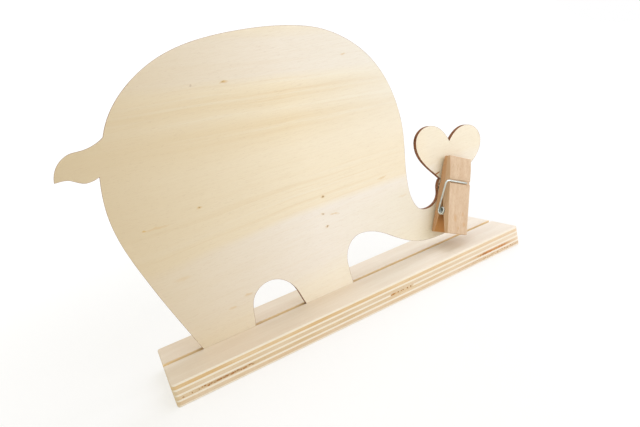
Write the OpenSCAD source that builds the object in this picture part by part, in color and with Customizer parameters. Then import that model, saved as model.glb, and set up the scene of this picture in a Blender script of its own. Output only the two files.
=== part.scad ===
// Photo holder of birch plywood. An elephant cut from a thin sheet stands with its two
// feet in a long slot of a laminated base, and holds up a heart on its trunk. A small
// sprung wooden peg, glued upright on the trunk, grips the photo.
// X runs along the base to the right, Y away from the viewer and Z up.
// The origin is the middle of the base's underside.

/* [Base] */
// Length of the base along X
base_l = 169.6; // [164:0.2:190]
// Width of the base from front to back
base_w = 34; // [28:1:46]
// Thickness of the base, stock plywood
base_t = 9.3; // [8:0.1:12]
// Thickness of each of the five long-grain veneers in the base
long_ply_t = 0.75; // [0.5:0.05:1.1]
// Radius of the four upright corners
base_corner_r = 1.8; // [0.8:0.1:5]
// Radius that eases the sharp edges of the top and the underside
base_edge_r = 0.4; // [0.2:0.05:0.6]
// Depth of the slot that the feet stand in
slot_depth = 5.4; // [4.9:0.1:6.5]
// Distance of the slot's middle behind the base's middle
slot_setback = 0.6; // [-4:0.1:4]
// Play between the panel and each wall of the slot
slot_play = 0.05; // [0.03:0.01:0.2]

/* [Elephant panel] */
// Thickness of the three-ply panel
panel_t = 2; // [1.6:0.1:3]
// Thickness of the panel's two face veneers
face_ply_t = 0.5; // [0.3:0.05:0.7]
// Length of the body from the rump to the front of the head
body_l = 127.6; // [115:0.5:135]
// Height of the back above the base
body_h = 113; // [100:1:130]
// How far the body's left limit stands past the base's left end
rump_overhang = 0.1; // [0:0.1:4]
// Length of the tail from its tip to its root
tail_l = 19.3; // [14:0.5:26]
// Height of the tail from its belly to its root's upper corner
tail_h = 14; // [10:0.5:16]

/* [Heart] */
// Width across the heart's two lobes
heart_w = 38.6; // [32:0.2:46]
// Height from the heart's point to the top of its lobes
heart_h = 30; // [26:0.5:36]
// Lean of the heart to the right, in degrees
heart_tilt = 12.7; // [0:0.5:25]

/* [Peg] */
// Length of the peg
peg_l = 36; // [33:0.5:39]
// Width of the peg
peg_w = 12.4; // [9:0.2:14]
// Lean of the peg to the right, in degrees
peg_tilt = 24.7; // [15:0.5:35]
// Thickness of each jaw at its tip
jaw_tip_t = 2.5; // [2.2:0.1:3.2]
// Thickness of each jaw at the end of its handle
jaw_handle_t = 2; // [1.7:0.1:2.6]
// Angle between a jaw's outer face and the face where the jaws meet
jaw_wedge = 5; // [3.5:0.1:6.5]
// Distance from the handle end to the axis of the coil
coil_rise = 10.4; // [9.6:0.2:11.6]
// Distance from the handle end to the start of the gripping face
grip_rise = 16.7; // [16:0.1:18.4]
// Distance from the tip to the steep wall of the wire groove
groove_drop = 10.9; // [10:0.1:12]
// Depth of the wire groove
groove_depth = 0.7; // [0.6:0.02:0.9]
// Width of the groove's flat floor
groove_floor = 1.45; // [1.1:0.05:1.7]
// Length of the groove's sloping side
groove_ramp = 0.6; // [0.4:0.1:1.4]
// How far the outer face stands back between the groove and the tip
nose_drop = 0.3; // [0.1:0.05:0.45]
// Thickness of the glue between the peg and the panel
glue_t = 0.8; // [0.4:0.05:1]

/* [Spring] */
// Diameter of the wire
wire_d = 0.84; // [0.7:0.02:0.88]
// Radius of the coil at the middle of the wire
coil_r = 1.5; // [1.4:0.05:1.9]
// Curls in the coil, before the part curl that joins its arms
coil_curls = 10; // [7:1:10]
// Radius at which each arm turns across its jaw
bend_r = 1.5; // [1:0.1:1.7]
// Play between the wire and the wood at each side of the peg
arm_play = 0.15; // [0.08:0.01:0.3]
// How far each arm leans out from its jaw on the way from the coil to the groove
arm_splay = 1.3; // [1.1:0.1:1.8]
// Play between the coil and its seats
seat_play = 0.15; // [0.1:0.01:0.25]

/* [Hidden] */
// One overrun serves every cut
over = 1;
// Straight steps that make up each curved stretch of an outline
curve_steps = 14;
round_steps = 5;
$fn = 48;

// The base: nine veneers, long grain and cross grain in turn
ply_count = 9;
slotted_plies = 5;
cross_ply_t = (base_t - 5 * long_ply_t) / 4;
slot_w = panel_t + 2 * slot_play;
slot_floor_z = base_t - slot_depth;
panel_front_y = slot_setback - panel_t / 2;
core_t = panel_t - 2 * face_ply_t;

function is_long(ply) = ply % 2 == 1;
function ply_t(ply) = is_long(ply) ? long_ply_t : cross_ply_t;
function ply_top(ply) =
    ply == 1 ? base_t : ply_top(ply - 1) - ply_t(ply - 1);

// The elephant. A station is a place on the outline, as shares of the body's length
// and height, and the outline's heading there in degrees. A corner has two headings.
body_left = -base_l / 2 - rump_overhang;
back_share = [
    [0.1262, 0.0000, 108],          // rear foot, outer side
    [0.0474, 0.2740, 106],          // thigh
    [0.0024, 0.5320, 90],           // rump
    [0.0169, 0.6585, 77],           // below the tail
    [0.0600, 0.7744, 65],           // above the tail
    [0.2247, 0.9474, 25.5],          // hip
    [0.4770, 0.9978, 0],            // top of the back
    [0.7236, 0.9683, -14],          // shoulder
    [0.8879, 0.8657, -43],          // crown of the head
    [0.9984, 0.5540, -89],          // forehead
    [0.9835, 0.4053, -100],         // between the eyes
    [0.9734, 0.2980, -91],          // root of the trunk
    [0.9945, 0.1950, -56],          // into the trunk's bend
    [1.0400, 0.1722, 0],            // bottom of the bend
    [1.0905, 0.2000, 57],           // out of the bend
    [1.0990, 0.2330, 86],
    [1.1140, 0.2710, 50, 20],       // heart's left side
    [1.2260, 0.2680, -30, -105],    // heart's right side
    [1.2104, 0.1860, -90],          // outer side of the trunk
    [1.0810, 0.0368, 180],          // underside of the trunk
    [0.9476, 0.0626, 156],          // chin
    [0.8689, 0.1164, 143],          // throat
    [0.7481, 0.1798, 177],          // top of the front arch
    [0.6704, 0.0810, 271],          // front leg
    [0.6734, 0.0000, 276]           // front foot, outer side
];
arch_share = [
    [0.4857, 0.0000, 110],          // front foot, inner side
    [0.4634, 0.0798, 117],
    [0.3901, 0.1408, 177],          // top of the arch between the legs
    [0.3155, 0.0845, 253],
    [0.3014, 0.0000, 255]           // rear foot, inner side
];
// The tail, as shares of its own length and height from its lower left corner
tail_share = [
    [0.6874, 0.0694, 205],          // root, lower corner
    [0.5177, 0.0250, 181],          // belly of the tail
    [0.2718, 0.1816, 150],
    [0.0123, 0.2267, 178, 80],      // tip
    [0.3550, 0.7873, 17],
    [0.6331, 0.8088, 6],
    [1.0058, 0.9882, 34]            // root, upper corner
];
tail_root_share = [0.059, 0.651];
tail_bury_share = 0.25;
// Half of the heart, as shares of half its width and of its height above its point
heart_share = [
    [0.00, 0.757, 60],          // notch
    [0.56, 1.000, 0],           // top of the lobe
    [1.00, 0.742, -90],         // side
    [0.00, 0.000, -127]         // point
];
heart_point_share = [1.150, 0.218];

function heading_out(station) = len(station) > 3 ? station[3] : station[2];
function toward(heading) = [cos(heading), sin(heading)];
function curve_point(a, b, c, d, t) =
    pow(1 - t, 3) * a + 3 * pow(1 - t, 2) * t * b + 3 * (1 - t) * t * t * c + t * t * t * d;
// A cubic curve from one station to the next, with handles that make it an even arc
function stretch(from, to) =
    let (
        a = [from[0], from[1]],
        d = [to[0], to[1]],
        turn = (heading_out(from) - to[2] + 540) % 360 - 180,
        reach = norm(d - a) / (3 * pow(cos(turn / 4), 2)),
        b = a + reach * toward(heading_out(from)),
        c = d - reach * toward(to[2])
    )
    [for (k = [0 : curve_steps - 1]) curve_point(a, b, c, d, k / curve_steps)];
function outline(stations) = [
    for (i = [0 : len(stations) - 2])
        for (p = stretch(stations[i], stations[i + 1])) p,
    [stations[len(stations) - 1][0], stations[len(stations) - 1][1]]
];
// Stations in shares become stations in millimetres
function sized(shares, width, height, origin) = [
    for (s = shares)
        [for (k = [0 : len(s) - 1]) k == 0 ? origin[0] + s[0] * width : k == 1 ? origin[1] + s[1] * height : s[k]]
];
function body_place(share) = [body_left + share[0] * body_l, base_t + share[1] * body_h];

body_origin = [body_left, base_t];
back_line = outline(sized(back_share, body_l, body_h, body_origin));
arch_line = outline(sized(arch_share, body_l, body_h, body_origin));
front_foot_outer_x = back_line[len(back_line) - 1][0];
front_foot_inner_x = arch_line[0][0];
rear_foot_inner_x = arch_line[len(arch_line) - 1][0];
rear_foot_outer_x = back_line[0][0];
body_points = concat(
    back_line,
    [[front_foot_outer_x, slot_floor_z], [front_foot_inner_x, slot_floor_z]],
    arch_line,
    [[rear_foot_inner_x, slot_floor_z], [rear_foot_outer_x, slot_floor_z]]
);
tail_root = body_place(tail_root_share);
tail_line = outline(sized(tail_share, tail_l, tail_h, tail_root - [tail_l, 0]));
tail_points = concat(tail_line, [tail_root + tail_bury_share * [tail_l, tail_h]]);
heart_half = outline(sized(heart_share, heart_w / 2, heart_h, [0, 0]));
heart_points = concat(
    heart_half,
    [for (k = [len(heart_half) - 2 : -1 : 1]) [-heart_half[k][0], heart_half[k][1]]]
);
heart_place = body_place(heart_point_share);

// The peg. Its own frame has u along the peg from the handle end, v out from the
// panel and w across the peg. The jaws mirror each other about their meeting face.
peg_place_share = [1.0753, 0.051];
peg_place = body_place(peg_place_share);
groove_top_u = peg_l - groove_drop;
groove_low_u = groove_top_u - groove_floor;
function meet_v(u) = jaw_tip_t + (peg_l - u) * tan(jaw_wedge);
coil_v = meet_v(coil_rise);
seat_r = coil_r + wire_d / 2 + seat_play;
// The jaw leaves its twin at the grip, widens its gap to the coil, and thins from
// its heel behind the coil to the handle end
relief_share = 0.15;
heel_share = 0.7;
// The outer face falls away over the last stretch before the tip
nose_l_share = 0.15;
nose_t_share = 0.3;
tip_round_share = 0.2;
handle_round_share = 0.22;
jaw_corners = [
    [0, 0, handle_round_share * jaw_handle_t],
    [groove_low_u - groove_ramp, 0, 0],
    [groove_low_u, groove_depth, 0],
    [groove_top_u, groove_depth, 0],
    [groove_top_u, nose_drop, 0],
    [peg_l * (1 - nose_l_share), nose_drop, 0],
    [peg_l, nose_t_share * jaw_tip_t, tip_round_share * jaw_tip_t],
    [peg_l, jaw_tip_t, 0],
    [grip_rise, meet_v(grip_rise), 0],
    [coil_rise, (1 - relief_share) * coil_v, 0],
    [coil_rise - seat_r, heel_share * coil_v, 0],
    [0, jaw_handle_t, handle_round_share * jaw_handle_t]
];
jaw_edge_share = 0.15;
jaw_edge_r = jaw_edge_share * jaw_tip_t;

// Points of a closed outline whose corners carry a radius each
function unit(p) = p / norm(p);
function round_corner(before, corner, after) =
    let (
        p = [corner[0], corner[1]],
        a = unit([before[0], before[1]] - p),
        b = unit([after[0], after[1]] - p),
        half = acos(a * b) / 2,
        run = corner[2] / tan(half),
        centre = p + unit(a + b) * corner[2] / sin(half),
        start = p + run * a - centre,
        end = p + run * b - centre
    )
    corner[2] == 0 ? [p] : [
        for (k = [0 : round_steps])
            centre + corner[2] * unit(start * (1 - k / round_steps) + end * k / round_steps)
    ];
function rounded(corners) = [
    for (i = [0 : len(corners) - 1])
        for (
            p = round_corner(
                corners[(i + len(corners) - 1) % len(corners)],
                corners[i],
                corners[(i + 1) % len(corners)]
            )
        ) p
];

// The glue pad lies under the rear jaw, below its groove
pad_inset_share = 0.13;
pad_inset = pad_inset_share * peg_w;
pad_l = groove_low_u - groove_ramp - 2 * pad_inset;

// The spring, in a frame at the coil's middle: s along the meeting face to the tip,
// n out of that face and w across the peg
ring_sides = 6;
rings_per_curl = 8;
bend_rings = 4;
wire_play = 0.05;
arm_w = peg_w / 2 + arm_play + wire_d / 2;
arm_end_share = 0.34;
function into_meeting_frame(u, v) =
    let (du = u - coil_rise, dv = v - coil_v)
    [cos(jaw_wedge) * du - sin(jaw_wedge) * dv, sin(jaw_wedge) * du + cos(jaw_wedge) * dv];
wire_u = groove_low_u + wire_play + wire_d / 2;
wire_v = groove_depth - wire_play - wire_d / 2;
rear_wire = into_meeting_frame(wire_u, wire_v);
arm_s = rear_wire[0];
arm_n = -rear_wire[1];
arm_reach = norm([arm_s, arm_n]);
arm_slope = atan2(arm_n, arm_s);
leave_angle = arm_slope - acos(coil_r / arm_reach);
turn_total = coil_curls * 360 + 2 * leave_angle;
coil_rings = ceil(turn_total * rings_per_curl / 360);
function coil_point(t) =
    let (angle = leave_angle - t * turn_total)
    [coil_r * cos(angle), coil_r * sin(angle), -arm_w + 2 * arm_w * t];
coil_path = [for (k = [0 : coil_rings]) coil_point(k / coil_rings)];
// The left arm rises beside the peg, leaning out, and bends across the front jaw's groove
across = [0, 0, 1];
arm_corner = [arm_s, arm_n, -arm_w - arm_splay];
arm_way = unit(arm_corner - coil_path[0]);
arm_end = [arm_s, arm_n, arm_end_share * peg_w];
half_bend = acos(-arm_way * across) / 2;
bend_run = bend_r / tan(half_bend);
bend_centre = arm_corner + unit(across - arm_way) * bend_r / sin(half_bend);
bend_start = arm_corner - bend_run * arm_way - bend_centre;
bend_stop = arm_corner + bend_run * across - bend_centre;
function bend_point(share) =
    bend_centre + bend_r * unit(bend_start * (1 - share) + bend_stop * share);
half_arm = (coil_path[0] + arm_corner) / 2;
arm_path = concat(
    [arm_end, arm_end - wire_d * across],
    [for (k = [bend_rings : -1 : 0]) bend_point(k / bend_rings)],
    [half_arm]
);
// The right arm is the left one turned half a circle about the s axis
function turned(p) = [p[0], -p[1], -p[2]];
wire_path = concat(
    arm_path,
    coil_path,
    [for (k = [len(arm_path) - 1 : -1 : 0]) turned(arm_path[k])]
);
wire_n = len(wire_path);
function wire_way(i) = unit(wire_path[min(i + 1, wire_n - 1)] - wire_path[max(i - 1, 0)]);
// Each ring's first corner is carried along the wire without twisting
function carried(side, way) = unit(side - (side * way) * way);
wire_sides = [
    for (i = 0, side = carried([1, 0, 0], wire_way(0)); i < wire_n;
         i = i + 1, side = carried(side, wire_way(min(i, wire_n - 1))))
        side
];
wire_points = [
    for (i = [0 : wire_n - 1])
        let (side = wire_sides[i], other = cross(wire_way(i), side))
        for (k = [0 : ring_sides - 1])
            let (angle = 360 * k / ring_sides)
            wire_path[i] + wire_d / 2 * (cos(angle) * side + sin(angle) * other)
];
function corner_at(ring, k) = ring * ring_sides + k % ring_sides;
wire_faces = concat(
    [for (k = [1 : ring_sides - 2]) [0, k, k + 1]],
    [
        for (i = [0 : wire_n - 2])
            for (k = [0 : ring_sides - 1])
                [corner_at(i, k), corner_at(i + 1, k), corner_at(i + 1, k + 1)]
    ],
    [
        for (i = [0 : wire_n - 2])
            for (k = [0 : ring_sides - 1])
                [corner_at(i, k), corner_at(i + 1, k + 1), corner_at(i, k + 1)]
    ],
    [for (k = [1 : ring_sides - 2]) [corner_at(wire_n - 1, 0), corner_at(wire_n - 1, k + 1), corner_at(wire_n - 1, k)]]
);
// Least gap from the wire to itself, between places half a curl or more apart along it
wire_run = [
    for (i = 0, run = 0; i < wire_n;
         i = i + 1, run = run + norm(wire_path[min(i, wire_n - 1)] - wire_path[i - 1]))
        run
];
wire_gap = min([
    for (i = [0 : wire_n - 1])
        for (j = [i : wire_n - 1])
            if (wire_run[j] - wire_run[i] > PI * coil_r) norm(wire_path[i] - wire_path[j])
]) - wire_d;
echo(wire_gap_mm = wire_gap, curls = turn_total / 360, wire_rings = wire_n);

// The jaws may turn until the handles meet
handle_half_gap = meet_v(0) - jaw_handle_t;
squeeze_limit = 2 * atan(handle_half_gap * cos(jaw_wedge) / coil_rise);
peg_pivot = [
    peg_place[0] + coil_rise * sin(peg_tilt),
    panel_front_y - glue_t - coil_v,
    peg_place[1] + coil_rise * cos(peg_tilt)
];
echo(pivot_mm = peg_pivot, squeeze_limit_deg = squeeze_limit, arm_mm = arm_corner);

slotted_names = [
    for (ply = [1 : slotted_plies])
        for (side = ["front", "rear"])
            str("base_ply_", ply, "_", side)
];
whole_names = [for (ply = [slotted_plies + 1 : ply_count]) str("base_ply_", ply)];

// A rectangle with round corners, centred on the origin
module rounded_rect(width, depth, r) {
    square([width - 2 * r, depth], center = true);
    square([width, depth - 2 * r], center = true);
    for (x = [-1, 1])
        for (y = [-1, 1])
            translate([x * (width / 2 - r), y * (depth / 2 - r)])
                circle(r);
}

// The base's bar with its long and short edges eased, to trim the outer veneers
module eased_bar() {
    intersection() {
        translate([0, 0, base_t / 2])
            rotate([90, 0, 90])
                linear_extrude(base_l, center = true)
                    rounded_rect(base_w, base_t, base_edge_r);
        translate([0, 0, base_t / 2])
            rotate([90, 0, 0])
                linear_extrude(base_w, center = true)
                    rounded_rect(base_l, base_t, base_edge_r);
    }
}

module ply_sheet(ply) {
    translate([0, 0, ply_top(ply) - ply_t(ply)])
        linear_extrude(ply_t(ply))
            rounded_rect(base_l, base_w, base_corner_r);
}

module slot() {
    translate([-base_l / 2 - over, slot_setback - slot_w / 2, slot_floor_z])
        cube([base_l + 2 * over, slot_w, slot_depth + over]);
}

// One veneer of the base, with the slot through it or into it
module base_ply(ply) {
    color(is_long(ply) ? "cornsilk" : "burlywood")
        difference() {
            if (ply == 1 || ply == ply_count) {
                intersection() {
                    ply_sheet(ply);
                    eased_bar();
                }
            } else {
                ply_sheet(ply);
            }
            slot();
        }
}

// The strip of a slotted veneer on one side of the slot, -1 in front and 1 behind
module base_strip(ply, side) {
    intersection() {
        base_ply(ply);
        translate([-base_l / 2 - over, side > 0 ? slot_setback : slot_setback - base_w - over, -over])
            cube([base_l + 2 * over, base_w + over, base_t + 2 * over]);
    }
}

module elephant_outline() {
    polygon(body_points);
    polygon(tail_points);
    translate(heart_place)
        rotate(-heart_tilt)
            polygon(heart_points);
}

// A sheet of the panel, from its distance behind the panel's front face
module panel_sheet(setback, thickness) {
    translate([0, panel_front_y + setback + thickness, 0])
        rotate([90, 0, 0])
            linear_extrude(thickness)
                elephant_outline();
}

module panel_front_ply() {
    color("cornsilk") panel_sheet(0, face_ply_t);
}

module panel_core_ply() {
    color("tan") panel_sheet(face_ply_t, core_t);
}

module panel_back_ply() {
    color("cornsilk") panel_sheet(face_ply_t + core_t, face_ply_t);
}

// Sets the peg's frame, u v w, on the front of the panel
module on_panel() {
    translate([peg_place[0], panel_front_y, peg_place[1]])
        rotate([0, peg_tilt, 0])
            rotate(180, [1, 0, 1])
                children();
}

// A jaw lying on its outer face, with the coil's seat across it
module jaw() {
    difference() {
        intersection() {
            linear_extrude(peg_w, center = true)
                polygon(rounded(jaw_corners));
            translate([-over, coil_v, 0])
                rotate([90, 0, 90])
                    linear_extrude(peg_l + 2 * over)
                        rounded_rect(2 * coil_v, peg_w, jaw_edge_r);
        }
        translate([coil_rise, coil_v, 0])
            cylinder(h = peg_w + 2 * over, r = seat_r, center = true);
    }
}

module peg_rear_jaw() {
    color("peru")
        on_panel()
            translate([0, glue_t, 0])
                jaw();
}

module peg_front_jaw() {
    color("burlywood")
        on_panel()
            translate([coil_rise, glue_t + coil_v, 0])
                rotate(-jaw_wedge)
                    mirror([0, 1, 0])
                        rotate(jaw_wedge)
                            translate([-coil_rise, -coil_v, 0])
                                jaw();
}

module peg_spring() {
    color("silver")
        on_panel()
            translate([coil_rise, glue_t + coil_v, 0])
                rotate(-jaw_wedge)
                    polyhedron(wire_points, wire_faces);
}

module peg_glue() {
    color("gold")
        on_panel()
            translate([pad_inset + pad_l / 2, glue_t, 0])
                rotate([90, 0, 0])
                    linear_extrude(glue_t)
                        rounded_rect(pad_l, peg_w - 2 * pad_inset, pad_inset);
}

for (ply = [1 : slotted_plies]) {
    base_strip(ply, -1);
    base_strip(ply, 1);
}
for (ply = [slotted_plies + 1 : ply_count])
    base_ply(ply);
panel_front_ply();
panel_core_ply();
panel_back_ply();
peg_rear_jaw();
peg_front_jaw();
peg_spring();
peg_glue();
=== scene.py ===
# %% [markdown]
# # Photo holder: a plywood elephant in a slotted base
# The real thing is bare wood. A bar of nine veneers has a long slot in it, an elephant cut
# from three-ply stands in the slot with its edges browned by the cut, and a small sprung
# peg of beech is glued on the trunk. The measured model is loaded first, as a frame that
# stays as it is. Everything in this lesson is either a finish for one of its pieces or a
# more detailed piece that takes the place of one. All lengths in Blender are metres, so
# MM turns the maker's millimetres into them.

# %% Load the frame
import math
import random
import bmesh
import bpy
from mathutils import Matrix, Vector


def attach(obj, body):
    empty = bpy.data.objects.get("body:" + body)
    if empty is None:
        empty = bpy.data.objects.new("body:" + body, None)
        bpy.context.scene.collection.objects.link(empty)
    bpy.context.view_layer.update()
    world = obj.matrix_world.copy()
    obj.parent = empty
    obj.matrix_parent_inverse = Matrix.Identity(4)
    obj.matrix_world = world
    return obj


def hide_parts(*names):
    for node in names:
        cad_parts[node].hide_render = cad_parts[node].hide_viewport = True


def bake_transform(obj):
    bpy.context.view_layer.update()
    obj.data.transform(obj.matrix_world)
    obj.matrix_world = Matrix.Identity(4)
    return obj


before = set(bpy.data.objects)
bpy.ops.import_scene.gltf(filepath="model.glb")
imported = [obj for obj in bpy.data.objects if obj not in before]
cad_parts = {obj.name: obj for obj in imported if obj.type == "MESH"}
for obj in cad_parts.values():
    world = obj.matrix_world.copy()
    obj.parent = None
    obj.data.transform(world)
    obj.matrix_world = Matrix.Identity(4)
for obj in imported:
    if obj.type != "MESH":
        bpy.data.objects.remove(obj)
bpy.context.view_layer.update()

MM = 0.001


# %% [markdown]
# ## The camera
# The picture is taken from close by, a little above the base and from its left, with the
# camera leaning to the side, so the base climbs to the right. A camera looks along its own
# -Z, with Y up. Its rotation could be typed as three angles, but three directions that stand
# square on each other are surer: the side, the up direction and the reverse of the gaze.

# %% Camera
eye = Vector((-83.29, -182.81, 97.00)) * MM
gaze = Vector((0.37487, 0.89114, -0.25563)).normalized()
side = gaze.cross(Vector((0.32238, 0.13323, 0.93719))).normalized()
camera = bpy.data.objects.new("camera", bpy.data.cameras.new("camera"))
bpy.context.scene.collection.objects.link(camera)
turn = Matrix((side, side.cross(gaze), -gaze)).transposed().to_4x4()
camera.matrix_world = Matrix.Translation(eye) @ turn
camera.data.sensor_width = 36
camera.data.lens = 27.29
camera.data.clip_start = 5 * MM
bpy.context.scene.camera = camera
print("camera:", round(math.degrees(camera.data.angle_x), 1), "degrees wide")

# %% [markdown]
# ## The studio
# Bare pale wood looks best in a bright white room with soft light. The floor runs up into
# the backdrop in one curve, so no corner shows. To the camera the floor is half white by
# itself, through Light Path, and half a plain white surface that still takes the object's
# shadow. Further off, where no shadow falls, it is white alone. The rest of the room is the
# world, which is white wherever the camera or the bright wire sees it. Where it only lights
# the wood it is softer and a little warm, as light that has been round a wooden room, and
# the two lamps are a little cool. So the open wood is neutral and its shadows are warm.

# %% Floor and backdrop
def studio_sheet(width, front, back, height, bend):
    """One sheet that lies on the ground and curves up behind."""
    angles = [math.radians(7.5 * k) for k in range(13)]
    curve = [(back - bend + bend * math.sin(a), bend - bend * math.cos(a)) for a in angles]
    line = [(front, 0.0)] + curve + [(back, height)]
    points = [(x, y, z) for x in (-width / 2, width / 2) for y, z in line]
    n = len(line)
    mesh = bpy.data.meshes.new("floor_and_backdrop")
    mesh.from_pydata(points, [], [(k, k + n, k + n + 1, k + 1) for k in range(n - 1)])
    mesh.shade_smooth()
    return bpy.data.objects.new("floor_and_backdrop", mesh)


floor = studio_sheet(width=5, front=-2, back=2, height=2, bend=0.6)
bpy.context.scene.collection.objects.link(floor)
print("floor:", len(floor.data.polygons), "faces")

# %% [markdown]
# ## Making materials with nodes
# A material is a little tree of nodes. Typing nodes and links one by one hides the idea, so
# a few helpers do it: put() makes a node and fills its inputs, and the others name the
# steps used again and again. The floor and the world need only these few. More follow
# where the wood first needs them.

# %% Node helpers
def put(tree, kind, inputs=(), **settings):
    """A new node with its settings made. Each input takes a value or a link."""
    made = tree.nodes.new("ShaderNode" + kind)
    for name, value in settings.items():
        setattr(made, name, value)
    for key, value in dict(inputs).items():
        if isinstance(value, bpy.types.NodeSocket):
            tree.links.new(value, made.inputs[key])
        else:
            made.inputs[key].default_value = value
    return made


def calc(tree, way, a, b=0.0):
    """One sum. way is what Blender's Math node calls it."""
    return put(tree, "Math", {0: a, 1: b}, operation=way).outputs[0]


def times(tree, a, b):
    """The product of two values."""
    return calc(tree, "MULTIPLY", a, b)


def length_of(tree, vector):
    """How far the vector reaches."""
    return put(tree, "VectorMath", {0: vector}, operation="LENGTH").outputs["Value"]


def grade(tree, value, low, high, start=0.0, end=1.0):
    """Turns value from low to high into start to end, and holds it there outside."""
    return put(tree, "MapRange", {0: value, 1: low, 2: high, 3: start, 4: end}).outputs[0]


print("node helpers:", [helper.__name__ for helper in (put, calc, times, length_of, grade)])

# %% White floor
floor_white = bpy.data.materials.new("floor_white")
floor_white.use_nodes = True
tree = floor_white.node_tree
tree.nodes.clear()
seen = put(tree, "LightPath").outputs["Is Camera Ray"]
away = length_of(tree, put(tree, "TexCoord").outputs["Object"])
plain = put(tree, "BsdfDiffuse", {"Color": (0.92, 0.92, 0.92, 1)}).outputs[0]
glow = put(tree, "Emission", {"Color": (1, 1, 1, 1), "Strength": 1.1}).outputs[0]
shadow_end, white_from = 0.12, 0.4
glowing = times(tree, seen, grade(tree, away, shadow_end, white_from, 0.55, 1.0))
both = put(tree, "MixShader", {0: glowing, 1: plain, 2: glow}).outputs[0]
put(tree, "OutputMaterial", {"Surface": both})
floor.data.materials.append(floor_white)
print("floor finish:", len(tree.nodes), "nodes")

# %% World
world = bpy.data.worlds.new("white_room")
bpy.context.scene.world = world
world.use_nodes = True
tree = world.node_tree
tree.nodes.clear()
path = put(tree, "LightPath").outputs
mirrored = calc(tree, "MAXIMUM", path["Is Glossy Ray"], path["Is Transmission Ray"])
seen = calc(tree, "MAXIMUM", path["Is Camera Ray"], mirrored)
lighting = put(tree, "Background", {0: (1, 0.965, 0.81, 1), 1: 0.72}).outputs[0]
backdrop = put(tree, "Background", {0: (1, 1, 1, 1), 1: 1.0}).outputs[0]
room = put(tree, "MixShader", {0: seen, 1: lighting, 2: backdrop}).outputs[0]
put(tree, "OutputWorld", {0: room})
print("world:", len(tree.nodes), "nodes")

# %% Lamps
lamp_colour = (0.97, 1.0, 1.27)
lamp_aim = Vector((0, 0, 60)) * MM


def softbox(name, direction, away, size, share):
    """A square lamp that adds share of full white to a surface that faces it."""
    lamp = bpy.data.objects.new(name, bpy.data.lights.new(name, "AREA"))
    lamp.data.size = size
    lamp.data.energy = math.pi ** 2 * away ** 2 * share
    lamp.data.color = lamp_colour
    way = Vector(direction).normalized()
    lamp.location = lamp_aim + way * away
    lamp.rotation_mode = "QUATERNION"
    lamp.rotation_quaternion = way.to_track_quat("Z", "Y")
    bpy.context.scene.collection.objects.link(lamp)


softbox("window_lamp", (0.42, 0.14, 0.9), away=0.6, size=0.36, share=0.29)
softbox("side_lamp", (0.53, -0.83, 0.17), away=0.42, size=0.26, share=0.262)
bpy.context.scene.view_settings.view_transform = "Standard"

# %% [markdown]
# ## Solid wood
# A picture wrapped round a board would be quick, but its lines wouldn't meet at the edges.
# Wood is solid, so its pattern is too: every pattern below is read at the point's own place
# in millimetres, and so it runs right through a piece and shows as lines on one side and as
# dots on the cut end, as real grain does.

# %% Wood helpers
def paint(red, green, blue):
    """A colour as a paint chart gives it, 0 to 255, turned into light."""
    shares = [c / 255 for c in (red, green, blue)]
    light = [((c + 0.055) / 1.055) ** 2.4 if c > 0.04045 else c / 12.92 for c in shares]
    return (*light, 1.0)


def mix(tree, share, a, b):
    """Colour a where share is 0, colour b where it is 1, and a blend between."""
    return put(tree, "Mix", {0: share, 6: a, 7: b}, data_type="RGBA").outputs[2]


def noise(tree, place, cells, detail=2.0, rough=0.5):
    """Soft random blotches, with so many to the millimetre along each axis.
    The first output is one number and the second is three of them."""
    scaled = put(tree, "VectorMath", {0: place, 1: cells}, operation="MULTIPLY").outputs[0]
    inputs = {"Vector": scaled, "Scale": 1.0, "Detail": detail, "Roughness": rough}
    return put(tree, "TexNoise", inputs).outputs


def pattern(tree, place, cells, detail=2.0, rough=0.5):
    """The one number of noise(), which is around a half."""
    return noise(tree, place, cells, detail, rough)[0]


def new_finish(name):
    """A material, its tree, its shader and the point's place in millimetres."""
    material = bpy.data.materials.new(name)
    material.use_nodes = True
    tree = material.node_tree
    own_place = put(tree, "TexCoord").outputs["Object"]
    place = put(tree, "VectorMath", {0: own_place, 3: 1 / MM}, operation="SCALE").outputs[0]
    return material, tree, tree.nodes["Principled BSDF"], place


print("paint(255, 255, 255) is", paint(255, 255, 255))

# %% [markdown]
# ## Marks in the wood
# A bare veneer is never even. It has pin knots, short resin streaks and little stains, and
# they are what the eye remembers. One mark is an ellipse: a Mapping node in Texture mode
# turns the point's place into the ellipse's own frame, where the edge is at distance 1, and
# Map Range makes a soft spot of it. The place is shaken a little first, so no mark is a
# clean ellipse.

# %% Marks
def own_frame(tree, vector, middle, lean, radii=(1, 1, 1)):
    """The vector as seen from middle, with lean about Y, in shares of the radii."""
    inputs = {0: vector, 1: middle, 2: (0, lean, 0), 3: radii}
    return put(tree, "Mapping", inputs, vector_type="TEXTURE").outputs[0]


def shaken(tree, place, cells, reach):
    """The place, moved about by up to half of reach, in millimetres."""
    middle = (0.5, 0.5, 0.5)
    three = noise(tree, place, cells)[1]
    centred = put(tree, "VectorMath", {0: three, 1: middle}, operation="SUBTRACT").outputs[0]
    shift = put(tree, "VectorMath", {0: centred, 3: reach}, operation="SCALE").outputs[0]
    return put(tree, "VectorMath", {0: place, 1: shift}).outputs[0]


def mark(tree, place, colour, middle, radii, tint, strength, lean=0.0, core=0.35):
    """Lays one soft spot of tint over the colour. It leans by lean degrees about Y."""
    own = own_frame(tree, place, middle, math.radians(-lean), radii)
    share = grade(tree, length_of(tree, own), core, 1.0, strength, 0.0)
    return mix(tree, share, colour, tint)


print("marks are laid by", mark.__name__, "on a place moved by", shaken.__name__)

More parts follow.
